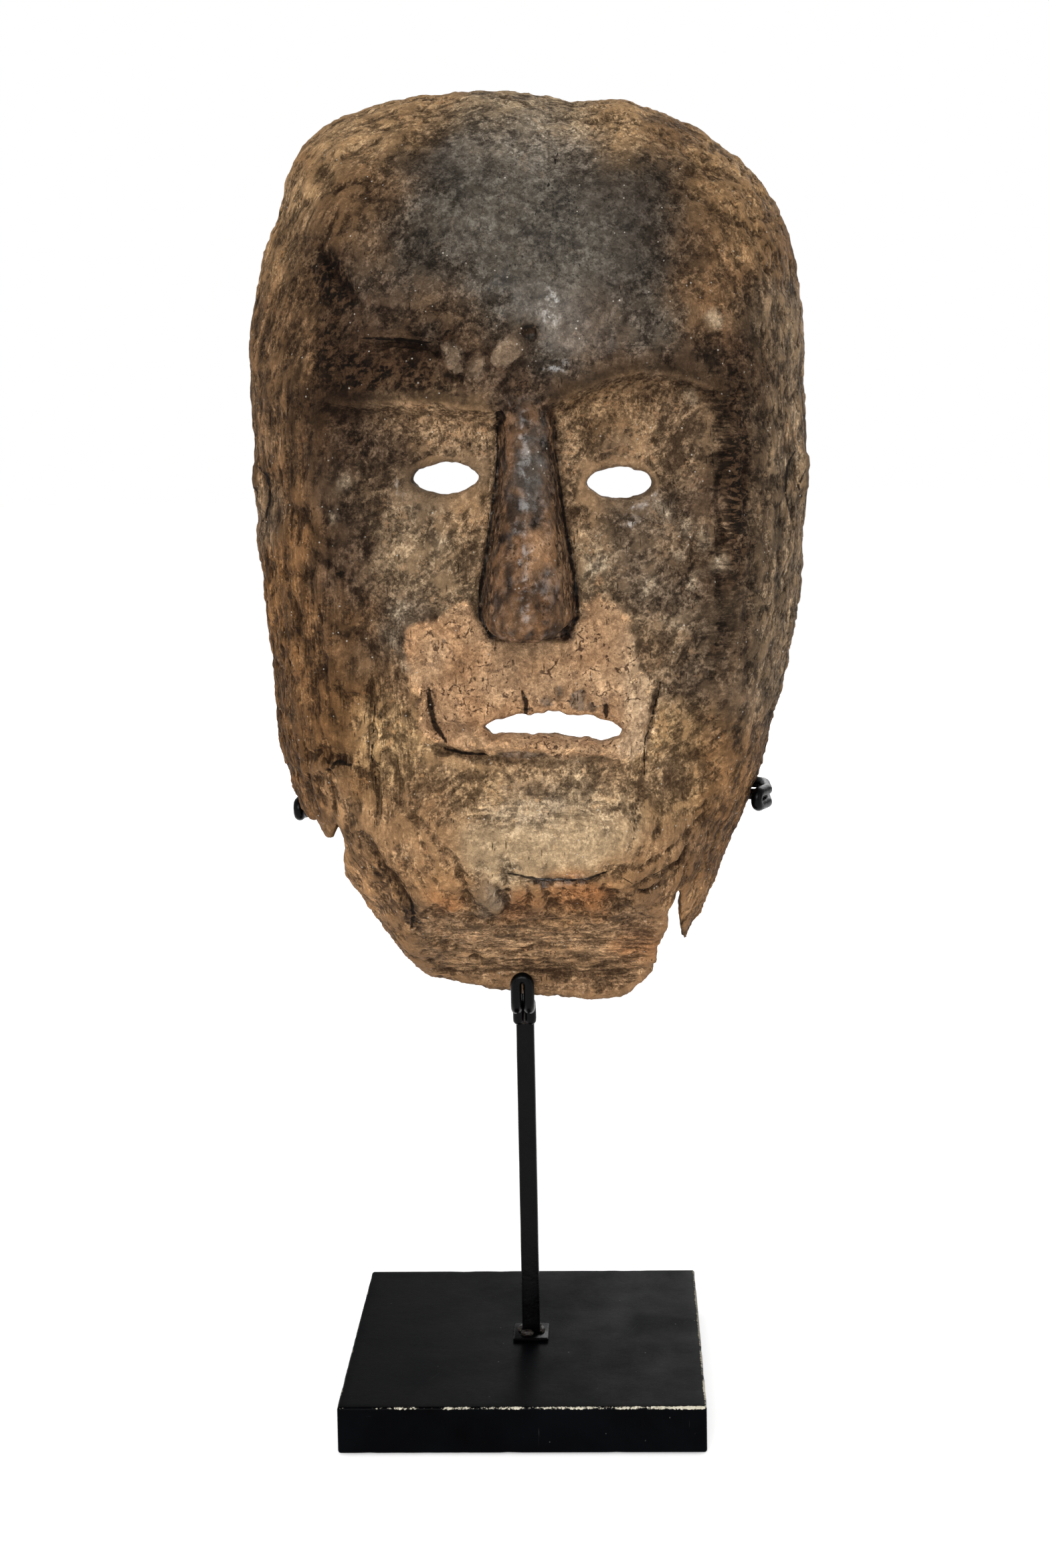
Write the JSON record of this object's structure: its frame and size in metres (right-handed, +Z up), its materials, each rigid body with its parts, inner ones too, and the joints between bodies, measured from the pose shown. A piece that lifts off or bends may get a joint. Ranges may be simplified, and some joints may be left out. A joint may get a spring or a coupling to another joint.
{
  "type": "carved wooden mask on stand",
  "caption": "Hollow carved wooden face mask hung by its chin rim and side edges on a black metal post with a square base.",
  "frame": {"origin": "middle of the felt under the base, on the surface the stand rests on", "axes": "+Z up along the post, the mask faces -Y, +X to the viewer's right"},
  "size_m": [0.191, 0.1665, 0.4608],
  "materials": {
    "old_wood": "weathered, smoke-dark patina over tan wood",
    "black_iron": "blackened, semi-gloss, a little mottled",
    "black_board": "black satin paint, worn along the top front edge",
    "felt": "felt",
    "zinc_steel": "zinc plated"
  },
  "bodies": {
    "stand": {"base_block": "black_board", "base_felt": "felt", "foot_plate": "black_iron", "post": "black_iron", "chin_hook": "black_iron", "left_arm": "black_iron", "right_arm": "black_iron", "post_screw": "zinc_steel", "screw_washer": "zinc_steel"},
    "mask": {"mask": "old_wood"}
  },
  "joints": [
    {"name": "mask_lift", "type": "slide", "parent": "stand", "child": "mask", "axis": [0, 0, 1], "range_m": [0, 0.095]}
  ]
}
